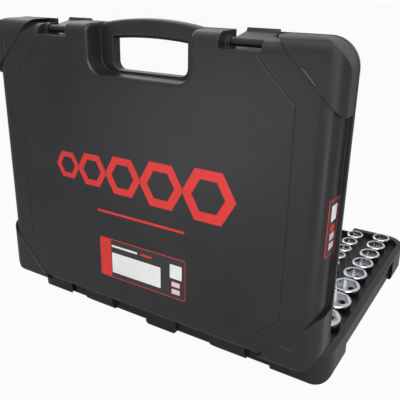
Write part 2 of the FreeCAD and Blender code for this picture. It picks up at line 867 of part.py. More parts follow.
def ratchet_drive():
    """Toothed gear with its shaft and the half-inch square."""
    points = []
    for i in range(2 * gear_teeth):
        angle = math.pi * i / gear_teeth
        radius = gear_radius - gear_tooth_depth * (i % 2)
        x = ratchet_x + radius * math.cos(angle)
        points.append(V(x, ratchet_head_y + radius * math.sin(angle), gear_bottom))
    gear = polygon_prism(points, V(0, 0, gear_thick))
    shaft = upright(ratchet_x, ratchet_head_y, head_bottom, gear_bottom, drive_shaft_radius)
    square = square_prism(ratchet_x, ratchet_head_y, square_bottom, head_bottom, drive_square)
    return fuse_all([gear, shaft, square])


def ratchet_pawl():
    """Small pawl on the lever's shaft, just clear of the gear."""
    y = ratchet_head_y - pawl_distance
    disc = upright(ratchet_x, y, gear_bottom, gear_bottom + gear_thick, pawl_radius)
    return disc.cut(upright(ratchet_x, y, head_bottom, head_top, lever_shaft_radius))


def ratchet_lever():
    """Reversing lever: shaft through the cover with a thumb blade on top."""
    y = ratchet_head_y - pawl_distance
    shaft = upright(ratchet_x, y, gear_bottom, head_top + seat_gap, lever_shaft_radius)
    z0 = head_top + seat_gap
    half = lever_width / 2
    corners = [V(ratchet_x - half, y - half, z0), V(ratchet_x + half, y - half, z0)]
    tip = y + lever_length - half
    corners += [V(ratchet_x + half / 2, tip, z0), V(ratchet_x - half / 2, tip, z0)]
    blade = rounded_face(corners, [lever_corner] * 4).extrude(V(0, 0, lever_thick))
    return fuse_all([shaft, blade])


def ratchet_grip():
    """Waisted plastic grip on the shank."""
    profile = [V(0, grip_end, 0), V(grip_end_radius, grip_end, 0)]
    profile += [V(grip_radius, grip_end + grip_radius, 0)]
    profile += [V(grip_end_radius, grip_start - grip_length / 2, 0)]
    profile += [V(grip_radius, grip_start - grip_radius, 0)]
    profile += [V(grip_end_radius, grip_start, 0), V(0, grip_start, 0)]
    grip = Part.Face(Part.makePolygon(profile + profile[:1])).revolve(V(0, 0, 0), V(0, 1, 0), 360)
    grip.translate(V(ratchet_x, 0, tool_axis))
    radius = shank_radius + grip_bore_gap
    shank = along_y(grip_end + wall, grip_start + cut_over, ratchet_x, tool_axis, radius)
    return grip.cut(shank)


# Insert: a plate on a skirt, with a cup or trough under every tool


def upright_cup(x, y, floor, radius):
    pocket = upright(x, y, floor - seat_gap, tray_top + cut_over, radius + tool_gap)
    outer = upright(x, y, floor - seat_gap - cup_wall, tray_top, radius + tool_gap + cup_wall)
    return outer, pocket


def trough_y(y0, y1, x, radius):
    """Half-round trough along Y, open above the axis of its tool."""
    inner = radius + tool_gap
    pocket = along_y(y0 - tool_gap, y1 + tool_gap, x, tool_axis, inner)
    side = inner + cup_wall
    end = cup_wall + tool_gap
    outer = box(x - side, x + side, y0 - end, y1 + end, tray_top - side, tray_top)
    return outer, pocket


def trough_x(x0, x1, y, radius):
    inner = radius + tool_gap
    pocket = along_x(x0 - tool_gap, x1 + tool_gap, y, tool_axis, inner)
    side = inner + cup_wall
    end = cup_wall + tool_gap
    outer = box(x0 - end, x1 + end, y - side, y + side, tray_top - side, tray_top)
    return outer, pocket


def tool_seats():
    """Outer and pocket solids of every seat in the insert."""
    seats = []
    for name, values, radius, x, y, bottom in standing_sockets():
        seats.append(upright_cup(x, y, bottom, radius))
    for name, values, x, y in lying_sockets():
        seats.append(trough_x(x, x + values[2], y, seat_radius(values)))
    for name, values, x, y in spark_places():
        seats.append(trough_y(y - values[2], y, x, seat_radius(values)))
    for x, length in ((long_extension_x, long_extension), (short_extension_x, short_extension)):
        front = tool_rear_y - length - male_length
        shoulder = tool_rear_y - female_length
        seats.append(trough_y(shoulder, tool_rear_y, x, female_radius))
        seats.append(trough_y(front, shoulder, x, square_radius))
        seats.append(trough_y(shoulder - female_length, shoulder, x, female_radius))
    middle = tool_rear_y - t_bar_length / 2
    reach = t_head_travel + t_head_length / 2
    seats.append(trough_y(tool_rear_y - t_bar_length, tool_rear_y, t_bar_x, t_bar_radius))
    seats.append(trough_y(middle - reach, middle + reach, t_bar_x, t_head_radius))
    shaft_end = tool_rear_y - spinner_shaft_length
    seats.append(trough_y(shaft_end, tool_rear_y, spinner_x, small_drive))
    seats.append(trough_y(shaft_end - spinner_grip_length, shaft_end, spinner_x, spinner_grip_radius))
    seats.append(upright_cup(ratchet_x, ratchet_head_y, head_bottom, ratchet_head_radius))
    seats.append(upright_cup(ratchet_x, ratchet_head_y, square_bottom, square_radius))
    neck_end = ratchet_head_y - 2 * ratchet_head_radius
    neck_seat = ratchet_head_radius * neck_seat_share
    seats.append(trough_y(neck_end, ratchet_head_y, ratchet_x, neck_seat))
    seats.append(trough_y(grip_start, neck_end, ratchet_x, shank_radius))
    seats.append(trough_y(grip_end, grip_start, ratchet_x, grip_radius))
    return seats


def to_base(shape):
    """Turns a half form over and lowers it into the base."""
    lowered = shape.mirror(V(0, 0, 0), V(0, 0, 1))
    lowered.translate(V(0, 0, base_height))
    return lowered


def tool_trays():
    """The insert in three parts, parted between rows of tools."""
    depth = base_height - base_floor
    plate = box(-wide, wide, -wide, wide, base_floor, tray_top)
    outer = to_base(half_form(tray_inset, body_corner - wall, depth, base_rounds)).common(plate)
    inner_corner = body_corner - wall - tray_wall
    inner = to_base(half_form(tray_inset + tray_wall, inner_corner, base_height, base_rounds))
    inner = inner.common(box(-wide, wide, -wide, wide, -wide, tray_top - tray_plate))
    gap = wall + tray_gap
    blocked = [handle_recess(gap, -cut_over, base_height)]
    blocked += mirrored_pair(latch_recess(gap, -cut_over, base_height))
    guarded = [handle_recess(gap + tray_wall, -cut_over, base_height)]
    guarded += mirrored_pair(latch_recess(gap + tray_wall, -cut_over, base_height))
    outer = outer.cut(Part.makeCompound(blocked))
    inner = inner.cut(Part.makeCompound(guarded))
    seats = tool_seats()
    tray = fuse_all([outer.cut(inner)] + [seat[0] for seat in seats]).common(outer)
    tray = tray.cut(Part.makeCompound([seat[1] for seat in seats]))
    bounds = [-wide, left_seam, right_seam, wide]
    parts = []
    for low, high in zip(bounds, bounds[1:]):
        span = box(low + tray_seam / 2, high - tray_seam / 2, -wide, wide, 0, base_height)
        parts.append(tray.common(span))
    return parts


def build():
    """Every node of the set, by name."""
    nodes = {"base_shell": base_shell(), "lid_shell": lid_shell(), "hinge_pins": hinge_pins()}
    nodes["latch_right"] = open_lid(latch())
    nodes["latch_left"] = open_lid(mirrored_pair(latch())[1])
    nodes["latch_pins"] = open_lid(Part.makeCompound(mirrored_pair(latch_pin(0))))
    trays = tool_trays()
    nodes["socket_tray"], nodes["handle_tray"], nodes["deep_socket_tray"] = trays
    nodes["lid_pad"] = lid_pad()
    for name, values, radius, x, y, bottom in standing_sockets():
        nodes[name] = socket(*values).translated(V(x, y, bottom))
    for name, values, x, y in lying_sockets():
        nodes[name] = place_lying_x(socket(*values), x, y)
    for name, values, x, y in spark_places():
        nodes[name] = place_lying_y(socket(*values), x, y)
    nodes["long_extension"] = place_lying_y(extension(long_extension), long_extension_x, tool_rear_y)
    nodes["short_extension"] = place_lying_y(extension(short_extension), short_extension_x, tool_rear_y)
    nodes["t_handle_bar"] = t_handle_bar()
    nodes["t_handle_head"] = t_handle_head()
    nodes["spinner_shaft"] = spinner_shaft()
    nodes["spinner_grip"] = spinner_grip()
    nodes["ratchet_body"] = ratchet_body()
    nodes["ratchet_cover"] = ratchet_cover()
    nodes["ratchet_screws"] = ratchet_screws()
    nodes["ratchet_drive"] = ratchet_drive()
    nodes["ratchet_pawl"] = ratchet_pawl()
    nodes["ratchet_lever"] = ratchet_lever()
    nodes["ratchet_grip"] = ratchet_grip()
    return nodes


os.makedirs("parts", exist_ok=True)
for node, shape in build().items():
    shape.exportStep("parts/" + node + ".step")
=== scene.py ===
"""Finishes, prints, foam and studio for an open socket set case."""

import json
import math

import bmesh
import bpy
from bpy.props import FloatProperty, FloatVectorProperty, IntProperty, PointerProperty
from mathutils import Matrix, Quaternion, Vector


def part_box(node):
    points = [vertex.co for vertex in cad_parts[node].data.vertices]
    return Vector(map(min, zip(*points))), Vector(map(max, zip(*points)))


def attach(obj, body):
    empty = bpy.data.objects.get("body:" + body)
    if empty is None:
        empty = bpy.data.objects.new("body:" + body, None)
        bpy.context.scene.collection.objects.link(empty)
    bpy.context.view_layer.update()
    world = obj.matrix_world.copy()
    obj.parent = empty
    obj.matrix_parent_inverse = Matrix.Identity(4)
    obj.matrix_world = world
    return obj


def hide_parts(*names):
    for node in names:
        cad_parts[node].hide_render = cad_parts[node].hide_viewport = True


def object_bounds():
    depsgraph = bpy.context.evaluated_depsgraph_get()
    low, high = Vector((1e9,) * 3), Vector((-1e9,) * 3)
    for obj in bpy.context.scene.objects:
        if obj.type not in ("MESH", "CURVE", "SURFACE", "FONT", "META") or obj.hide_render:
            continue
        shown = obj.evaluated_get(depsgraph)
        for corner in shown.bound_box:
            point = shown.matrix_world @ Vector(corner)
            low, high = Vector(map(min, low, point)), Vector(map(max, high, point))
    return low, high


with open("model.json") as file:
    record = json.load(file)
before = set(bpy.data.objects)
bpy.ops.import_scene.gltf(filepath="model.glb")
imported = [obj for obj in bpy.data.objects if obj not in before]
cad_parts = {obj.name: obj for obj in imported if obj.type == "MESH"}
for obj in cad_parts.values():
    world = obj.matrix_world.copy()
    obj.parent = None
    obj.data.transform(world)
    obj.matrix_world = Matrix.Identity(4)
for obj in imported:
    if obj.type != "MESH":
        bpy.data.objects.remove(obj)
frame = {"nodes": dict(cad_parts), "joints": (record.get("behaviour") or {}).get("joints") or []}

bl_info = {
    "name": "Socket Set Dressing",
    "version": (1, 0, 0),
    "blender": (4, 5, 0),
    "location": "View3D > Sidebar > Socket Set",
    "description": "Finishes, prints, foam and studio for an open socket set case",
    "category": "Object",
}

# Places read from the frame, in metres
CAD_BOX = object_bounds()
NODES = frame["nodes"]
LID_HINGE = next(joint for joint in frame["joints"] if joint["name"] == "lid_hinge")
HINGE = Vector(LID_HINGE["pos_m"])
OPEN_ANGLE = math.radians(-LID_HINGE["range_deg"][0])

# Turns a point of the shut lid to its place on the open lid
LID_OPENED = Matrix.Translation(HINGE) @ Matrix.Rotation(-OPEN_ANGLE, 4, "X") @ Matrix.Translation(-HINGE)

# Lid: hinge line behind the rear flange, side wall inside the widest edge, rounding from side to panel
HINGE_BACK = 0.0026
FLANGE_REACH = 0.005
SIDE_ROUND = 0.018

# Texture values between which an effect runs from one end to the other
PATCH_SPAN = (0.35, 0.65)
WEAR_SPAN = (0.3, 0.7)
SMUDGE_SPAN = (0.35, 0.7)
PEBBLE_SPAN = (0.2, 1.2)
PORE_SPAN = (0.55, 0.95)

# Agreement of the rounded and the flat normal where the painted edge highlight begins and where it is full
EDGE_HIGHLIGHT_SPAN = (0.99, 0.80)

# Brightness of a changed spot against its plain colour
# The edge tint is a painted highlight that makes sharp edges paler
EDGE_HIGHLIGHT_TINT = 3.0
PATCH_TINT = 0.82
SMUDGE_TINT = 0.86
WORN_INK_TINT = 0.93
WORN_GRIP_TINT = 0.85
# Foam ridges against pores that are painted dark as painted shade
FOAM_RIDGE_TINT = 2.2

# How far a finish's roughness strays below and above its plain value
FINISH_STRAY = (0.04, 0.05)
INK_STRAY = (0.05, 0.05)

# Plate: turned lines per metre of a tool's axis, slower change the other ways, radius of softened edges
TURNED_LINES = 2600.0
TURNED_STREAKS = 60.0
PLATE_EDGE = 0.0004

# Grips: where red turns to black, as shares of the length from the middle, and lowest and highest roughness
RED_END_SPAN = (0.34, 0.345)
GRIP_ROUGHNESS = (0.40, 0.52)

# Egg-crate foam: pitch of its peaks, width of its rounded border, spacing of its mesh
FOAM_PITCH = 0.0235
FOAM_BORDER = 0.010
FOAM_SPACING = 0.0036

# Shares of the pad's thickness: mean, rise and fall of the peaks, and what is left at the border
FOAM_MEAN = 0.70
FOAM_WAVE = 0.28
FOAM_EDGE = 0.45

# Printed nuts: first nut as a share of the last, hole as a share of its nut, and sides
FIRST_NUT = 0.55
NUT_HOLE = 0.62
NUT_SIDES = 6

# Bar below the nuts: drop in widths of the last nut, share of the emblem's width, height and rounding
BAR_DROP = 0.72
BAR_SHARE = 0.5
BAR_HEIGHT = 0.003
BAR_ROUND = 0.0014

# Labels: roughness of each sheet, grain that shows through, and rounding of the border and of the blocks
SHEET_ROUGHNESS = {"white": 0.34, "red": 0.36, "ink": 0.34, "pink": 0.34}
LABEL_GRAIN = 0.00001
BORDER_ROUND = 0.002
BLOCK_ROUND = 0.0008

# Tops of a label's layers, in print thicknesses, each layer being half a thickness high
BORDER = 1.0
GROUND = 1.5
FIELD = 2.0
LAYER = 0.5

# Blocks of a label: sheet, layer, then middle across, middle up, width and height as shares of the label
FACE_BLOCKS = (
    ("red", BORDER, 0.5, 0.5, 1.0, 1.0),
    ("ink", GROUND, 0.565, 0.5, 0.86, 0.965),
    ("white", FIELD, 0.435, 0.40, 0.58, 0.52),
    ("white", FIELD, 0.30, 0.83, 0.31, 0.05),
    ("red", FIELD, 0.56, 0.83, 0.13, 0.05),
    ("white", FIELD, 0.895, 0.66, 0.13, 0.34),
    ("pink", FIELD, 0.895, 0.35, 0.09, 0.12),
    ("pink", FIELD, 0.895, 0.17, 0.09, 0.12),
)
SIDE_BLOCKS = (
    ("red", BORDER, 0.5, 0.5, 1.0, 1.0),
    ("ink", GROUND, 0.5, 0.5, 0.90, 0.965),
    ("white", FIELD, 0.5, 0.76, 0.58, 0.27),
    ("red", FIELD, 0.5, 0.50, 0.52, 0.10),
    ("pink", FIELD, 0.5, 0.35, 0.52, 0.12),
    ("pink", FIELD, 0.5, 0.18, 0.52, 0.12),
)

# World: strength for the rays that light, and how far it is lifted to white in reflections
WORLD_FILL = 0.24
WORLD_MIRRORED = 0.5

# Floor: half its side, and its roughness
FLOOR_HALF = 6.0
FLOOR_ROUGHNESS = 0.8

# Camera: sensor width in millimetres and nearest distance seen
SENSOR_WIDTH = 36.0
NEAREST_SEEN = 0.01

# Soft lamps: name, place, point aimed at, width and height, power in watts
SOFT_LAMPS = (
    ("overhead_softbox", (-0.5, 0.6, 1.7), (0.0, 0.15, 0.2), (1.7, 1.7), 14.0),
    ("viewer_right_softbox", (-0.62, 0.80, 0.85), (-0.2, 0.2, 0.32), (0.8, 0.9), 10.0),
    ("low_right_strip", (-0.72, 0.60, 0.12), (-0.23, 0.2, 0.2), (0.10, 0.22), 0.50),
    ("inside_softbox", (1.0, -0.6, 1.3), (0.0, 0.0, 0.1), (1.3, 1.3), 8.0),
    ("low_left_card", (0.35, 1.05, 0.10), (-0.12, 0.2, 0.31), (0.45, 0.3), 1.1),
)

# Places of the two colours and the result among a mix node's sockets
MIX_COLOURS = (6, 7)
MIX_RESULT = 2


def shut_box(node):
    """Lowest and highest corner of a lid node with the lid shut."""
    shut = LID_OPENED.inverted()
    points = [shut @ vertex.co for vertex in NODES[node].data.vertices]
    low = Vector([min(values) for values in zip(*points)])
    high = Vector([max(values) for values in zip(*points)])
    return low, high


LID_LOW, LID_HIGH = shut_box("lid_shell")
PAD_LOW, PAD_HIGH = shut_box("lid_pad")


# Properties


def length(name, description, default):
    return FloatProperty(name=name, description=description, default=default, unit="LENGTH", precision=5)


def share(name, description, default):
    return FloatProperty(
        name=name, description=description, default=default, min=0.0, max=1.0, subtype="FACTOR")


def colour(name, description, default):
    return FloatVectorProperty(name=name, description=description, default=default, size=3, subtype="COLOR")


def angle(name, description, degrees):
    return FloatProperty(name=name, description=description, default=math.radians(degrees), subtype="ANGLE")


class CaseLook(bpy.types.PropertyGroup):
    plastic: colour("Case plastic", "Colour of the moulded case", (0.0130, 0.0136, 0.0158))
    latch_plastic: colour("Latch plastic", "Colour of the latches", (0.0130, 0.0134, 0.0145))
    insert_plastic: colour("Insert plastic", "Colour of the tool insert", (0.0085, 0.0085, 0.0092))
    foam: colour("Foam", "Colour of the lid foam", (0.0140, 0.0140, 0.0155))
    roughness: share("Case roughness", "Roughness of the moulded case", 0.36)
    sheen: share("Case sheen", "Strength of the reflections on moulded plastic", 0.40)
    edge_radius: length("Edge radius", "Softened radius of moulded edges", 0.0012)
    grain_size: length("Grain size", "Size of the moulded grain", 0.0011)
    bumper_step: length("Bumper step", "Height of the bumpers over the lid panel", 0.0015)


class PrintLook(bpy.types.PropertyGroup):
    red: colour("Print red", "Colour of the printed marks", (0.66, 0.022, 0.018))
    white: colour("Label white", "Colour of the label sheet", (0.83, 0.83, 0.82))
    ink: colour("Label ink", "Colour of the dark label fields", (0.02, 0.02, 0.022))
    pink: colour("Label pink", "Colour of the pale label blocks", (0.80, 0.55, 0.55))
    thickness: length("Print thickness", "Height of ink and label over the plastic", 0.00012)
    emblem_width: length("Emblem width", "Width of the row of printed nuts", 0.262)
    nut_width: length("Nut width", "Width of the largest printed nut across its corners", 0.070)
    emblem_along: length("Emblem place", "Middle of the emblem, from the lid's rear edge", 0.180)
    emblem_count: IntProperty(name="Emblem nuts", description="Number of printed nuts", default=5, min=2)
    label_width: length("Label width", "Width of the face label", 0.131)
    label_height: length("Label height", "Height of the face label", 0.054)
    label_along: length("Label place", "Middle of the label, from the lid's rear edge", 0.067)
    label_across: length("Label offset", "Middle of the label, from the lid's middle", 0.002)
    side_width: length("Side label width", "Width of the label on the lid's side", 0.0225)
    side_height: length("Side label height", "Height of the label on the lid's side", 0.062)
    side_along: length("Side label place", "Middle of the side label, from the lid's rear edge", 0.170)
    side_across: length("Side label offset", "Middle of the side label, from the parting plane", 0.0165)


class MetalLook(bpy.types.PropertyGroup):
    chrome: colour("Chrome", "Colour of the plated tools", (0.84, 0.85, 0.87))
    steel: colour("Steel", "Colour of pins and screws", (0.50, 0.50, 0.52))
    grip_red: colour("Grip red", "Colour of the grips", (0.55, 0.02, 0.02))
    grip_black: colour("Grip black", "Colour of the grip bands", (0.016, 0.016, 0.017))


class StudioLook(bpy.types.PropertyGroup):
    lens: FloatProperty(
        name="Lens", description="Focal length on a 36 mm sensor", default=50.97, unit="CAMERA")
    camera_place: FloatVectorProperty(
        name="Camera place", description="Where the camera stands", default=(-0.3929, 0.6897, 0.4662),
        size=3, subtype="XYZ", unit="LENGTH")
    camera_yaw: angle("Yaw", "Turn of the view from -Y", 32.508)
    camera_pitch: angle("Pitch", "Tilt of the view below the horizon", 23.184)
    camera_roll: angle("Roll", "Roll about the view", -0.669)
    floor: colour("Floor", "Colour of the studio floor", (0.42, 0.42, 0.42))
    floor_white: share("Floor white", "How far the seen floor is lifted to white", 0.95)
    floor_mirrored: share("Floor in reflections", "How far the reflected floor is lifted to white", 0.20)


def looks():
    return bpy.context.scene.socket_set


# Node helpers


def new_node(tree, kind, **settings):
    node = tree.nodes.new(kind)
    for name, value in settings.items():
        setattr(node, name, value)
    return node


def feed(tree, socket, value):
    """Links another node's socket in, or sets a plain number or colour."""
    if isinstance(value, bpy.types.NodeSocket):
        tree.links.new(value, socket)
    elif socket.type == "RGBA":
        socket.default_value = (*value, 1.0)
    else:
        socket.default_value = value


def math_node(tree, operation, first, second=0.0):
    node = new_node(tree, "ShaderNodeMath", operation=operation)
    feed(tree, node.inputs[0], first)
    feed(tree, node.inputs[1], second)
    return node.outputs[0]


def range_node(tree, value, span, new_span=(0.0, 1.0)):
    """Value carried from one span to another and held at its ends."""
    node = new_node(tree, "ShaderNodeMapRange")
    tree.links.new(value, node.inputs["Value"])
    for name, number in zip(("From Min", "From Max", "To Min", "To Max"), (*span, *new_span)):
        node.inputs[name].default_value = number
    return node.outputs["Result"]


def mix_colour(tree, factor, first, second):
    node = new_node(tree, "ShaderNodeMix", data_type="RGBA")
    tree.links.new(factor, node.inputs["Factor"])
    for index, value in zip(MIX_COLOURS, (first, second)):
        feed(tree, node.inputs[index], value)
    return node.outputs[MIX_RESULT]


def noise(tree, vector, scale, detail):
    node = new_node(tree, "ShaderNodeTexNoise")
    tree.links.new(vector, node.inputs["Vector"])
    feed(tree, node.inputs["Detail"], detail)
    feed(tree, node.inputs["Scale"], scale)
    return node.outputs["Fac"]


def tinted(tint, brightness):
    return [channel * brightness for channel in tint]


def strayed(roughness, stray):
    """Lowest and highest roughness of a finish."""
    below, above = stray
    return roughness - below, roughness + above


# Node groups that several finishes share


def new_group(name, inputs, outputs):
    """Empty shader group with named float inputs and outputs of the given kinds."""
    group = bpy.data.node_groups.new(name, "ShaderNodeTree")
    for label, default in inputs:
        socket = group.interface.new_socket(label, in_out="INPUT", socket_type="NodeSocketFloat")
        socket.default_value = default
    for label, kind in outputs:
        group.interface.new_socket(label, in_out="OUTPUT", socket_type=kind)
    enter = group.nodes.new("NodeGroupInput")
    leave = group.nodes.new("NodeGroupOutput")
    return group, enter, leave


def moulded_grain_group():
    """Fine pebble of a moulded surface, with slow patches of sheen."""
    name = "moulded_grain"
    if name in bpy.data.node_groups:
        return bpy.data.node_groups[name]
    inputs = [("Size", 0.001), ("Patch Size", 0.06)]
    outputs = [("Height", "NodeSocketFloat"), ("Patches", "NodeSocketFloat")]
    group, enter, leave = new_group(name, inputs, outputs)
    place = new_node(group, "ShaderNodeTexCoord").outputs["Object"]
    fine_scale = math_node(group, "DIVIDE", 1.0, enter.outputs["Size"])
    fine = noise(group, place, fine_scale, detail=3.0)
    pebble = new_node(group, "ShaderNodeTexVoronoi", feature="SMOOTH_F1")
    group.links.new(place, pebble.inputs["Vector"])
    group.links.new(fine_scale, pebble.inputs["Scale"])
    height = math_node(group, "ADD", fine, pebble.outputs["Distance"])
    group.links.new(height, leave.inputs["Height"])
    patch_scale = math_node(group, "DIVIDE", 1.0, enter.outputs["Patch Size"])
    group.links.new(noise(group, place, patch_scale, detail=4.0), leave.inputs["Patches"])
    return group


def edge_round_and_highlight_group():
    """Rounded normal at sharp edges, and a mask of the sharp edges themselves, where a painted highlight
    goes.
    """
    name = "edge_rub"
    if name in bpy.data.node_groups:
        return bpy.data.node_groups[name]
    outputs = [("Mask", "NodeSocketFloat"), ("Normal", "NodeSocketVector")]
    group, enter, leave = new_group(name, [("Radius", 0.001)], outputs)
    bevel = new_node(group, "ShaderNodeBevel", samples=6)
    group.links.new(enter.outputs["Radius"], bevel.inputs["Radius"])
    flat = new_node(group, "ShaderNodeNewGeometry").outputs["Normal"]
    dot = new_node(group, "ShaderNodeVectorMath", operation="DOT_PRODUCT")
    group.links.new(bevel.outputs["Normal"], dot.inputs[0])
    group.links.new(flat, dot.inputs[1])
    group.links.new(range_node(group, dot.outputs["Value"], EDGE_HIGHLIGHT_SPAN), leave.inputs["Mask"])
    group.links.new(bevel.outputs["Normal"], leave.inputs["Normal"])
    return group


def turned_lines_group():
    """Fine lines left by turning and polishing, and slow smudges."""
    name = "turned_lines"
    if name in bpy.data.node_groups:
        return bpy.data.node_groups[name]
    inputs = [("Across X", TURNED_STREAKS), ("Across Y", TURNED_STREAKS), ("Across Z", TURNED_LINES)]
    outputs = [("Lines", "NodeSocketFloat"), ("Smudges", "NodeSocketFloat")]
    group, enter, leave = new_group(name, inputs, outputs)
    place = new_node(group, "ShaderNodeTexCoord").outputs["Object"]
    stretch = new_node(group, "ShaderNodeCombineXYZ")
    for (label, _), socket in zip(inputs, stretch.inputs):
        group.links.new(enter.outputs[label], socket)
    scaled = new_node(group, "ShaderNodeVectorMath", operation="MULTIPLY")
    group.links.new(place, scaled.inputs[0])
    group.links.new(stretch.outputs["Vector"], scaled.inputs[1])
    group.links.new(noise(group, scaled.outputs["Vector"], scale=1.0, detail=2.0), leave.inputs["Lines"])
    group.links.new(noise(group, place, scale=55.0, detail=4.0), leave.inputs["Smudges"])
    return group


def place_group(tree, group, **values):
    node = new_node(tree, "ShaderNodeGroup", node_tree=group)
    for label, value in values.items():
        node.inputs[label.replace("_", " ")].default_value = value
    return node.outputs


# Materials


def new_material(name):
    material = bpy.data.materials.new(name)
    material.use_nodes = True
    return material, material.node_tree, material.node_tree.nodes["Principled BSDF"]


def bump(tree, shader, height, depth, normal=None):
    node = new_node(tree, "ShaderNodeBump")
    node.inputs["Distance"].default_value = depth
    tree.links.new(height, node.inputs["Height"])
    if normal is not None:
        tree.links.new(normal, node.inputs["Normal"])
    tree.links.new(node.outputs["Normal"], shader.inputs["Normal"])


def moulded_plastic(name, tint, roughness, grain_size, grain_depth, edge_radius):
    """Grained black plastic whose sharp edges are painted a little paler as a painted highlight."""
    material, tree, shader = new_material(name)
    grain = place_group(tree, moulded_grain_group(), Size=grain_size)
    edge_shading = place_group(tree, edge_round_and_highlight_group(), Radius=edge_radius)
    shader.inputs["Specular IOR Level"].default_value = looks().case.sheen
    patches = range_node(tree, grain["Patches"], PATCH_SPAN)
    body = mix_colour(tree, patches, tinted(tint, PATCH_TINT), tint)
    # Sharp edges painted paler: a painted highlight
    edge_highlighted = mix_colour(tree, edge_shading["Mask"], body, tinted(tint, EDGE_HIGHLIGHT_TINT))
    tree.links.new(edge_highlighted, shader.inputs["Base Color"])
    rough = range_node(tree, grain["Patches"], WEAR_SPAN, strayed(roughness, FINISH_STRAY))
    tree.links.new(rough, shader.inputs["Roughness"])
    bump(tree, shader, grain["Height"], grain_depth, edge_shading["Normal"])
    return material


def plated_metal(name, tint, axis, roughness):
    """Polished plate with fine lines round the tool's axis."""
    material, tree, shader = new_material(name)
    shader.inputs["Metallic"].default_value = 1.0
    stretch = {"Across_" + label: TURNED_LINES if label == axis else TURNED_STREAKS for label in "XYZ"}
    turned = place_group(tree, turned_lines_group(), **stretch)
    edge_shading = place_group(tree, edge_round_and_highlight_group(), Radius=PLATE_EDGE)
    smudged = range_node(tree, turned["Smudges"], SMUDGE_SPAN)
    plate = mix_colour(tree, smudged, tint, tinted(tint, SMUDGE_TINT))
    tree.links.new(plate, shader.inputs["Base Color"])
    rough = range_node(tree, turned["Lines"], WEAR_SPAN, strayed(roughness, FINISH_STRAY))
    tree.links.new(rough, shader.inputs["Roughness"])
    bump(tree, shader, turned["Lines"], depth=0.000012, normal=edge_shading["Normal"])
    return material


def printed_ink(name, tint, roughness, grain_depth):
    """Ink or vinyl that lets a little of the grain below show through."""
    material, tree, shader = new_material(name)
    grain = place_group(tree, moulded_grain_group(), Size=looks().case.grain_size, Patch_Size=0.02)
    worn = range_node(tree, grain["Patches"], WEAR_SPAN)
    print_colour = mix_colour(tree, worn, tinted(tint, WORN_INK_TINT), tint)
    tree.links.new(print_colour, shader.inputs["Base Color"])
    rough = range_node(tree, grain["Height"], PEBBLE_SPAN, strayed(roughness, INK_STRAY))
    tree.links.new(rough, shader.inputs["Roughness"])
    bump(tree, shader, grain["Height"], grain_depth)
    return material


def foam_material(name, tint):
    """Open-celled foam in a matt surface, its low pores painted dark as painted shade and its ridges paler.
    """
    material, tree, shader = new_material(name)
    grain = place_group(tree, moulded_grain_group(), Size=0.0016, Patch_Size=0.03)
    ridges = range_node(tree, grain["Height"], PORE_SPAN)
    # Low spots of the bump painted darker: painted shade in the pores
    foam_colour = mix_colour(tree, ridges, tint, tinted(tint, FOAM_RIDGE_TINT))
    tree.links.new(foam_colour, shader.inputs["Base Color"])
    shader.inputs["Roughness"].default_value = 0.95
    shader.inputs["Specular IOR Level"].default_value = 0.2
    bump(tree, shader, grain["Height"], depth=0.0006)
    return material


def banded_grip(name, red, black, low, high):
    """Two-colour grip along Y: black at both ends and red between, with a fine grain."""
    material, tree, shader = new_material(name)
    place = new_node(tree, "ShaderNodeTexCoord").outputs["Object"]
    split = new_node(tree, "ShaderNodeSeparateXYZ")
    tree.links.new(place, split.inputs["Vector"])
    from_middle = range_node(tree, split.outputs["Y"], (low, high), (-0.5, 0.5))
    band = range_node(tree, math_node(tree, "ABSOLUTE", from_middle), RED_END_SPAN)
    grain = place_group(tree, moulded_grain_group(), Size=0.0009, Patch_Size=0.02)
    worn = range_node(tree, grain["Patches"], WEAR_SPAN)
    shaded = mix_colour(tree, worn, tinted(red, WORN_GRIP_TINT), red)
    tree.links.new(mix_colour(tree, band, shaded, black), shader.inputs["Base Color"])
    rough = range_node(tree, grain["Patches"], WEAR_SPAN, GRIP_ROUGHNESS)
    tree.links.new(rough, shader.inputs["Roughness"])
    bump(tree, shader, grain["Height"], depth=0.00012)
    return material


def dress(node, material):
    """Gives a CAD node its finish."""
    mesh = NODES[node].data
    mesh.materials.clear()
    mesh.materials.append(material)
    mesh.polygons.foreach_set("material_index", [0] * len(mesh.polygons))


# Mesh helpers


def new_piece(name, mesh_builder, materials, body):
    """Object made by a function that fills a bmesh, riding on a body."""
    mesh = bpy.data.meshes.new(name)
    shape = bmesh.new()
    mesh_builder(shape)
    bmesh.ops.recalc_face_normals(shape, faces=shape.faces)
    shape.to_mesh(mesh)
    shape.free()
    for material in materials:
        mesh.materials.append(material)
    piece = bpy.data.objects.new(name, mesh)
    bpy.context.scene.collection.objects.link(piece)
    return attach(piece, body)


def add_plate(shape, outline, low, high, place, slot=0, hole=None):
    """Closed plate on an outline of 2-D points, with an optional hole of as many points."""
    rings = [outline] if hole is None else [outline, hole]
    verts = []
    for level in (low, high):
        verts.append([[shape.verts.new(place(u, v, level)) for u, v in ring] for ring in rings])
    count = len(outline)
    faces = []
    for level in verts:
        if hole is None:
            faces.append(shape.faces.new(level[0]))
        else:
            for i in range(count):
                j = (i + 1) % count
                faces.append(shape.faces.new((level[0][i], level[0][j], level[1][j], level[1][i])))
    for bottom, top in zip(*verts):
        for i in range(count):
            j = (i + 1) % count
            faces.append(shape.faces.new((bottom[i], bottom[j], top[j], top[i])))
    for face in faces:
        face.material_index = slot


def add_slab(shape, u_range, v_range, low, high, place, slot, steps=8):
    """Closed thin slab that follows a curved face across u."""
    start, end = u_range
    us = [start + (end - start) * i / steps for i in range(steps + 1)]
    rows = []
    for level in (low, high):
        for v in v_range:
            rows.append([shape.verts.new(place(u, v, level)) for u in us])
    faces = []
    for first, second in ((0, 1), (2, 3), (0, 2), (1, 3)):
        for i in range(steps):
            ring = (rows[first][i], rows[first][i + 1], rows[second][i + 1], rows[second][i])
            faces.append(shape.faces.new(ring))
    for i in (0, steps):
        faces.append(shape.faces.new((rows[0][i], rows[1][i], rows[3][i], rows[2][i])))
    for face in faces:
        face.material_index = slot


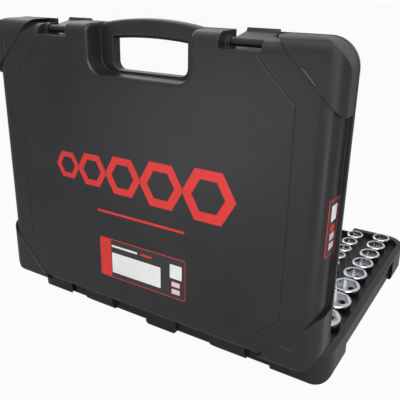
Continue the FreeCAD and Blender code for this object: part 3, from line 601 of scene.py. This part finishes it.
def rectangle(center_u, center_v, width, height, radius, steps=4):
    """Outline of a rectangle with round corners."""
    points = []
    corners = [(1, 1, 0), (-1, 1, 90), (-1, -1, 180), (1, -1, 270)]
    for side_u, side_v, start in corners:
        u = center_u + side_u * (width / 2 - radius)
        v = center_v + side_v * (height / 2 - radius)
        for i in range(steps + 1):
            turn = math.radians(start + 90 * i / steps)
            points.append((u + radius * math.cos(turn), v + radius * math.sin(turn)))
    return points


def polygon(center_u, center_v, radius, sides):
    """Outline of a regular polygon with a corner on its right."""
    points = []
    for i in range(sides):
        turn = 2 * math.pi * i / sides
        points.append((center_u + radius * math.cos(turn), center_v + radius * math.sin(turn)))
    return points


def rear_edge():
    """Y of the lid's rear flange with the lid shut."""
    return HINGE.y - HINGE_BACK


def lid_face(u, v, level):
    """Point on the lid's outer panel: u to the viewer's right, v from the rear edge to the handle."""
    face = LID_HIGH.z - looks().case.bumper_step
    return LID_OPENED @ Vector((-u, rear_edge() - v, face + level))


def lid_side(u, v, level):
    """Point on the lid's side at the viewer's right: u up the wall and its rounding, v from the rear edge."""
    wall = LID_LOW.x + FLANGE_REACH
    straight = LID_HIGH.z - looks().case.bumper_step - SIDE_ROUND - HINGE.z
    turn = max(u - straight, 0.0) / SIDE_ROUND
    reach = SIDE_ROUND + level
    x = wall + SIDE_ROUND - reach * math.cos(turn)
    z = HINGE.z + min(u, straight) + reach * math.sin(turn)
    return LID_OPENED @ Vector((x, rear_edge() - v, z))


# Operators


class SOCKETSET_OT_case(bpy.types.Operator):
    """Give the case shells and latches their moulded black finish"""

    bl_idname = "socket_set.case"
    bl_label = "Case Finish"

    def execute(self, context):
        look = looks().case
        shell = moulded_plastic(
            "case_black", look.plastic, look.roughness, look.grain_size,
            grain_depth=0.00010, edge_radius=look.edge_radius)
        latch = moulded_plastic(
            "latch_black", look.latch_plastic, look.roughness, look.grain_size,
            grain_depth=0.00005, edge_radius=look.edge_radius / 2)
        for node in ("base_shell", "lid_shell"):
            dress(node, shell)
        for node in ("latch_left", "latch_right"):
            dress(node, latch)
        return {"FINISHED"}


class SOCKETSET_OT_insert(bpy.types.Operator):
    """Give the tool insert its black blow-moulded finish"""

    bl_idname = "socket_set.insert"
    bl_label = "Insert Finish"

    def execute(self, context):
        black = moulded_plastic(
            "insert_black", looks().case.insert_plastic, roughness=0.5,
            grain_size=0.0016, grain_depth=0.0002, edge_radius=0.0008)
        for node in NODES:
            if node.endswith("_tray"):
                dress(node, black)
        return {"FINISHED"}


def foam_height(u, v, size):
    """Thickness share of the foam at a point: egg-crate peaks, rounded off at the pad's border."""
    wave = math.cos(2 * math.pi * u / FOAM_PITCH) * math.cos(2 * math.pi * v / FOAM_PITCH)
    edge = min(size.x / 2 - abs(u), size.y / 2 - abs(v))
    border = min(edge / FOAM_BORDER, 1.0)
    rounded = math.sqrt(max(1 - (1 - border) ** 2, 0.0))
    return (FOAM_MEAN + FOAM_WAVE * wave) * (FOAM_EDGE + (1 - FOAM_EDGE) * rounded)


def build_foam(shape):
    """Fills a shape with the pad: a wavy front, a flat back against the lid and a rim between them."""
    size = PAD_HIGH - PAD_LOW
    middle = (PAD_LOW + PAD_HIGH) / 2
    columns = int(size.x / FOAM_SPACING)
    rows = int(size.y / FOAM_SPACING)
    front = []
    back = []
    for j in range(rows + 1):
        for i in range(columns + 1):
            u = (i / columns - 0.5) * size.x
            v = (j / rows - 0.5) * size.y
            thick = size.z * foam_height(u, v, size)
            spot = Vector((middle.x + u, middle.y + v, PAD_HIGH.z))
            front.append(shape.verts.new(LID_OPENED @ (spot - Vector((0, 0, thick)))))
            back.append(shape.verts.new(LID_OPENED @ spot))
    stride = columns + 1
    for j in range(rows):
        for i in range(columns):
            corner = j * stride + i
            ring = (corner, corner + 1, corner + stride + 1, corner + stride)
            shape.faces.new([front[k] for k in ring])
            shape.faces.new([back[k] for k in reversed(ring)])
    rim = list(range(stride))
    rim += [j * stride + columns for j in range(1, rows + 1)]
    rim += [rows * stride + i for i in range(columns - 1, -1, -1)]
    rim += [j * stride for j in range(rows - 1, 0, -1)]
    for k, index in enumerate(rim):
        after = rim[(k + 1) % len(rim)]
        shape.faces.new((front[index], front[after], back[after], back[index]))


class SOCKETSET_OT_foam(bpy.types.Operator):
    """Lay an egg-crate foam pad in the lid"""

    bl_idname = "socket_set.foam"
    bl_label = "Lid Foam"

    def execute(self, context):
        pad = new_piece("foam_pad", build_foam, [foam_material("foam_black", looks().case.foam)], "lid")
        pad.data.polygons.foreach_set("use_smooth", [True] * len(pad.data.polygons))
        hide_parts("lid_pad")
        return {"FINISHED"}


def build_emblem(shape):
    """Fills a shape with a row of growing nut outlines and the bar below it."""
    look = looks().prints
    steps = look.emblem_count - 1
    radii = []
    for i in range(look.emblem_count):
        radii.append(look.nut_width / 2 * (FIRST_NUT + (1 - FIRST_NUT) * i / steps))
    gap = (look.emblem_width - 2 * sum(radii)) / steps
    u = -look.emblem_width / 2
    for radius in radii:
        u += radius
        outer = polygon(u, look.emblem_along, radius, NUT_SIDES)
        inner = polygon(u, look.emblem_along, radius * NUT_HOLE, NUT_SIDES)
        add_plate(shape, outer, 0.0, look.thickness, lid_face, hole=inner)
        u += radius + gap
    bar_along = look.emblem_along - look.nut_width * BAR_DROP
    bar = rectangle(0, bar_along, look.emblem_width * BAR_SHARE, BAR_HEIGHT, BAR_ROUND)
    add_plate(shape, bar, 0.0, look.thickness, lid_face)


class SOCKETSET_OT_emblem(bpy.types.Operator):
    """Print a row of growing nuts on the lid"""

    bl_idname = "socket_set.emblem"
    bl_label = "Lid Emblem"

    def execute(self, context):
        ink = printed_ink("print_red", looks().prints.red, roughness=0.42, grain_depth=0.00004)
        new_piece("lid_emblem", build_emblem, [ink], "lid")
        return {"FINISHED"}


def label_blocks(blocks, middle, size):
    """Slot, layer, middle and size of each block of a label."""
    slots = list(SHEET_ROUGHNESS)
    for sheet, layer, part_u, part_v, part_width, part_height in blocks:
        u = middle[0] + (part_u - 0.5) * size[0]
        v = middle[1] + (part_v - 0.5) * size[1]
        yield slots.index(sheet), layer, u, v, part_width * size[0], part_height * size[1]


def layer_levels(layer):
    """Bottom and top of a label's layer over the plastic."""
    thickness = looks().prints.thickness
    return (layer - LAYER) * thickness, layer * thickness


def build_face_label(shape):
    """Fills a shape with the flat label on the lid's panel."""
    look = looks().prints
    middle = (look.label_across, look.label_along)
    size = (look.label_width, look.label_height)
    for slot, layer, u, v, width, height in label_blocks(FACE_BLOCKS, middle, size):
        radius = BORDER_ROUND if layer == BORDER else BLOCK_ROUND
        outline = rectangle(u, v, width, height, radius)
        add_plate(shape, outline, *layer_levels(layer), lid_face, slot)


def build_side_label(shape):
    """Fills a shape with the label that bends round the lid's side."""
    look = looks().prints
    middle = (look.side_across, look.side_along)
    size = (look.side_width, look.side_height)
    for slot, layer, u, v, width, height in label_blocks(SIDE_BLOCKS, middle, size):
        u_range = (u - width / 2, u + width / 2)
        v_range = (v - height / 2, v + height / 2)
        add_slab(shape, u_range, v_range, *layer_levels(layer), lid_side, slot)


class SOCKETSET_OT_labels(bpy.types.Operator):
    """Stick the blank face label and the side label on the lid"""

    bl_idname = "socket_set.labels"
    bl_label = "Lid Labels"

    def execute(self, context):
        look = looks().prints
        sheets = []
        for sheet, roughness in SHEET_ROUGHNESS.items():
            sheets.append(printed_ink("label_" + sheet, getattr(look, sheet), roughness, LABEL_GRAIN))
        new_piece("face_label", build_face_label, sheets, "lid")
        new_piece("side_label", build_side_label, sheets, "lid")
        return {"FINISHED"}


class SOCKETSET_OT_sockets(bpy.types.Operator):
    """Give every socket and extension bar its polished plate"""

    bl_idname = "socket_set.sockets"
    bl_label = "Socket Finish"

    def execute(self, context):
        chrome = looks().metal.chrome
        upright = plated_metal("plate_upright", chrome, axis="Z", roughness=0.11)
        across = plated_metal("plate_across", chrome, axis="X", roughness=0.11)
        along = plated_metal("plate_along", chrome, axis="Y", roughness=0.11)
        for node in NODES:
            if node.endswith("_tray"):
                continue
            if node.startswith(("socket_", "small_socket_")):
                dress(node, upright)
            elif node.startswith("deep_socket_"):
                dress(node, across)
            elif node.startswith("spark_plug_socket_") or node.endswith("_extension"):
                dress(node, along)
        return {"FINISHED"}


class SOCKETSET_OT_hand_tools(bpy.types.Operator):
    """Give the ratchet, T-handle, spinner and pins their finishes"""

    bl_idname = "socket_set.hand_tools"
    bl_label = "Hand Tool Finish"

    def execute(self, context):
        look = looks().metal
        along = plated_metal("plate_handle", look.chrome, axis="Y", roughness=0.14)
        flat = plated_metal("plate_flat", look.chrome, axis="X", roughness=0.16)
        steel = plated_metal("pin_steel", look.steel, axis="X", roughness=0.30)
        black = moulded_plastic(
            "lever_black", look.grip_black, roughness=0.4,
            grain_size=0.0008, grain_depth=0.00004, edge_radius=0.0004)
        for node in ("t_handle_bar", "t_handle_head", "spinner_shaft"):
            dress(node, along)
        for node in ("ratchet_body", "ratchet_cover", "ratchet_drive"):
            dress(node, flat)
        for node in ("hinge_pins", "latch_pins", "ratchet_screws", "ratchet_pawl"):
            dress(node, steel)
        dress("ratchet_lever", black)
        for node in ("ratchet_grip", "spinner_grip"):
            low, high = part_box(node)
            dress(node, banded_grip(node + "_bands", look.grip_red, look.grip_black, low.y, high.y))
        return {"FINISHED"}


def soft_lamp(name, place, aim, size, power):
    lamp = bpy.data.lights.new(name, "AREA")
    lamp.shape = "RECTANGLE"
    lamp.size, lamp.size_y = size
    lamp.energy = power
    holder = bpy.data.objects.new(name, lamp)
    holder.location = place
    holder.rotation_mode = "QUATERNION"
    holder.rotation_quaternion = (Vector(aim) - Vector(place)).to_track_quat("-Z", "Y")
    holder.visible_camera = False
    bpy.context.scene.collection.objects.link(holder)


def seen_share(tree, direct, mirrored):
    """One share for camera rays, another for glossy and transmission rays, and 0 for the rays that light."""
    path = new_node(tree, "ShaderNodeLightPath").outputs
    bounced = math_node(tree, "MAXIMUM", path["Is Glossy Ray"], path["Is Transmission Ray"])
    bounced = math_node(tree, "MULTIPLY", bounced, mirrored)
    seen = math_node(tree, "MULTIPLY", path["Is Camera Ray"], direct)
    return math_node(tree, "MAXIMUM", bounced, seen)


def studio_world():
    world = bpy.data.worlds.new("studio_white")
    world.use_nodes = True
    tree = world.node_tree
    backdrop = tree.nodes["Background"]
    seen = seen_share(tree, direct=1.0, mirrored=WORLD_MIRRORED)
    strength = range_node(tree, seen, (0.0, 1.0), (WORLD_FILL, 1.0))
    backdrop.inputs["Color"].default_value = (1.0, 1.0, 1.0, 1.0)
    tree.links.new(strength, backdrop.inputs["Strength"])
    bpy.context.scene.world = world


def studio_floor(look):
    material, tree, shader = new_material("floor_white")
    shader.inputs["Base Color"].default_value = (*look.floor, 1.0)
    shader.inputs["Roughness"].default_value = FLOOR_ROUGHNESS
    glow = new_node(tree, "ShaderNodeEmission")
    mixed = new_node(tree, "ShaderNodeMixShader")
    tree.links.new(seen_share(tree, look.floor_white, look.floor_mirrored), mixed.inputs["Fac"])
    tree.links.new(shader.outputs["BSDF"], mixed.inputs[1])
    tree.links.new(glow.outputs["Emission"], mixed.inputs[2])
    tree.links.new(mixed.outputs["Shader"], tree.nodes["Material Output"].inputs["Surface"])
    mesh = bpy.data.meshes.new("floor")
    shape = bmesh.new()
    bmesh.ops.create_grid(shape, x_segments=1, y_segments=1, size=FLOOR_HALF)
    shape.to_mesh(mesh)
    shape.free()
    mesh.materials.append(material)
    floor = bpy.data.objects.new("floor", mesh)
    floor.location.z = CAD_BOX[0].z
    bpy.context.scene.collection.objects.link(floor)


def studio_camera(look):
    camera = bpy.data.cameras.new("photo_view")
    camera.sensor_width = SENSOR_WIDTH
    camera.lens = look.lens
    camera.clip_start = NEAREST_SEEN
    holder = bpy.data.objects.new("photo_view", camera)
    level = math.cos(look.camera_pitch)
    ahead = math.cos(look.camera_yaw) * level
    aside = math.sin(look.camera_yaw) * level
    view = Vector((aside, -ahead, -math.sin(look.camera_pitch)))
    holder.location = look.camera_place
    holder.rotation_mode = "QUATERNION"
    holder.rotation_quaternion = view.to_track_quat("-Z", "Y") @ Quaternion((0, 0, 1), look.camera_roll)
    bpy.context.scene.collection.objects.link(holder)
    bpy.context.scene.camera = holder


class SOCKETSET_OT_stage(bpy.types.Operator):
    """Set up the pale floor, the soft lamps and the camera"""

    bl_idname = "socket_set.stage"
    bl_label = "Studio"

    def execute(self, context):
        look = looks().studio
        context.scene.view_settings.view_transform = "Standard"
        studio_world()
        studio_floor(look)
        for lamp in SOFT_LAMPS:
            soft_lamp(*lamp)
        studio_camera(look)
        return {"FINISHED"}


class SocketSetLook(bpy.types.PropertyGroup):
    case: PointerProperty(type=CaseLook, name="Case", description="Plastic, insert and foam")
    prints: PointerProperty(type=PrintLook, name="Prints", description="Emblem and labels on the lid")
    metal: PointerProperty(type=MetalLook, name="Tools", description="Plate, steel and grips")
    studio: PointerProperty(type=StudioLook, name="Studio", description="Floor and camera")


OPERATORS = (
    SOCKETSET_OT_case, SOCKETSET_OT_insert, SOCKETSET_OT_foam, SOCKETSET_OT_emblem, SOCKETSET_OT_labels,
    SOCKETSET_OT_sockets, SOCKETSET_OT_hand_tools, SOCKETSET_OT_stage,
)


class SOCKETSET_PT_dressing(bpy.types.Panel):
    """Lists the dressing steps in the 3D view's sidebar"""

    bl_idname = "SOCKETSET_PT_dressing"
    bl_label = "Socket Set"
    bl_space_type = "VIEW_3D"
    bl_region_type = "UI"
    bl_category = "Socket Set"

    def draw(self, context):
        for operator in OPERATORS:
            self.layout.operator(operator.bl_idname)


CLASSES = (CaseLook, PrintLook, MetalLook, StudioLook, SocketSetLook, *OPERATORS, SOCKETSET_PT_dressing)


def register():
    for item in CLASSES:
        bpy.utils.register_class(item)
    bpy.types.Scene.socket_set = PointerProperty(type=SocketSetLook)


def unregister():
    del bpy.types.Scene.socket_set
    for item in reversed(CLASSES):
        bpy.utils.unregister_class(item)


def main():
    register()
    for operator in OPERATORS:
        group, name = operator.bl_idname.split(".")
        getattr(getattr(bpy.ops, group), name)()


if __name__ == "__main__":
    main()
